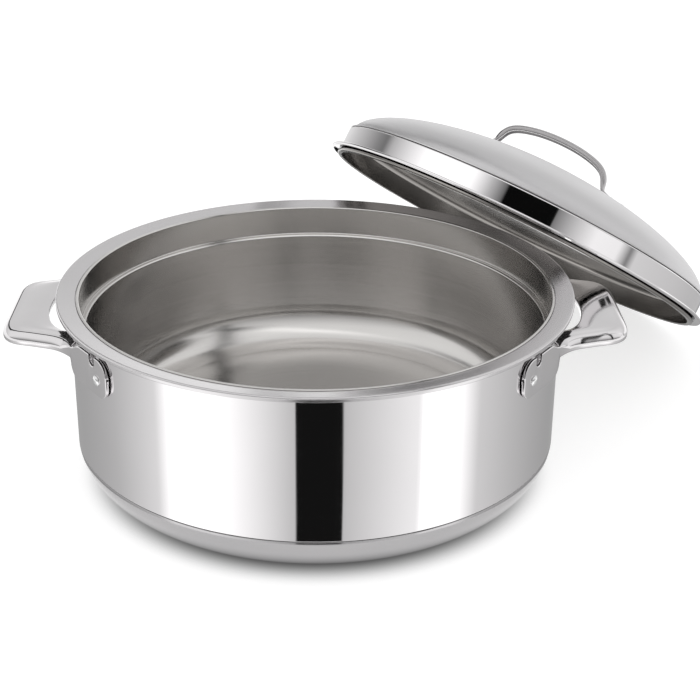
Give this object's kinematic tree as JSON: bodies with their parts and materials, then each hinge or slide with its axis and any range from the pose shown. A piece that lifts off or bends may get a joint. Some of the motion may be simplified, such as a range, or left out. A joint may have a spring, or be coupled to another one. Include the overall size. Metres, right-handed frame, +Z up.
{
  "type": "insulated serving casserole",
  "caption": "Round double-walled stainless steel serving pot with two riveted side handles and a domed lift-off lid with a strap handle.",
  "frame": {"origin": "centre of the pot's flat bottom, on the surface that it stands on", "axes": "+Z up, the two side handles on the X axis, +Y towards the back of the picture"},
  "size_m": [0.4153, 0.4248, 0.1603],
  "materials": {
    "polished_steel": "mirror-polished stainless steel sheet",
    "satin_steel": "satin-polished stainless steel sheet",
    "liner_steel": "stainless steel turned with a fine satin grain",
    "pressed_steel": "bright pressed stainless steel",
    "rivet_steel": "bright stainless steel",
    "insulation": "rigid polyurethane foam"
  },
  "bodies": {
    "pot": {"base_cup": "satin_steel", "outer_shell": "polished_steel", "rim_collar": "satin_steel", "inner_liner": "liner_steel", "body_foam": "insulation", "right_handle": "pressed_steel", "left_handle": "pressed_steel", "right_rear_rivet": "rivet_steel", "right_rear_washer": "rivet_steel", "right_front_rivet": "rivet_steel", "right_front_washer": "rivet_steel", "left_rear_rivet": "rivet_steel", "left_rear_washer": "rivet_steel", "left_front_rivet": "rivet_steel", "left_front_washer": "rivet_steel"},
    "lid": {"lid_dome": "satin_steel", "lid_band": "polished_steel", "lid_liner": "liner_steel", "lid_foam": "insulation", "lid_handle": "pressed_steel", "lid_left_backing_plate": "rivet_steel", "lid_right_backing_plate": "rivet_steel", "lid_left_outer_rivet": "rivet_steel", "lid_left_inner_rivet": "rivet_steel", "lid_right_inner_rivet": "rivet_steel", "lid_right_outer_rivet": "rivet_steel"}
  },
  "joints": [
    {"name": "lid_lift", "type": "slide", "parent": "pot", "child": "lid", "axis": [0, 0, 1], "range_m": [0, 0.15]}
  ]
}
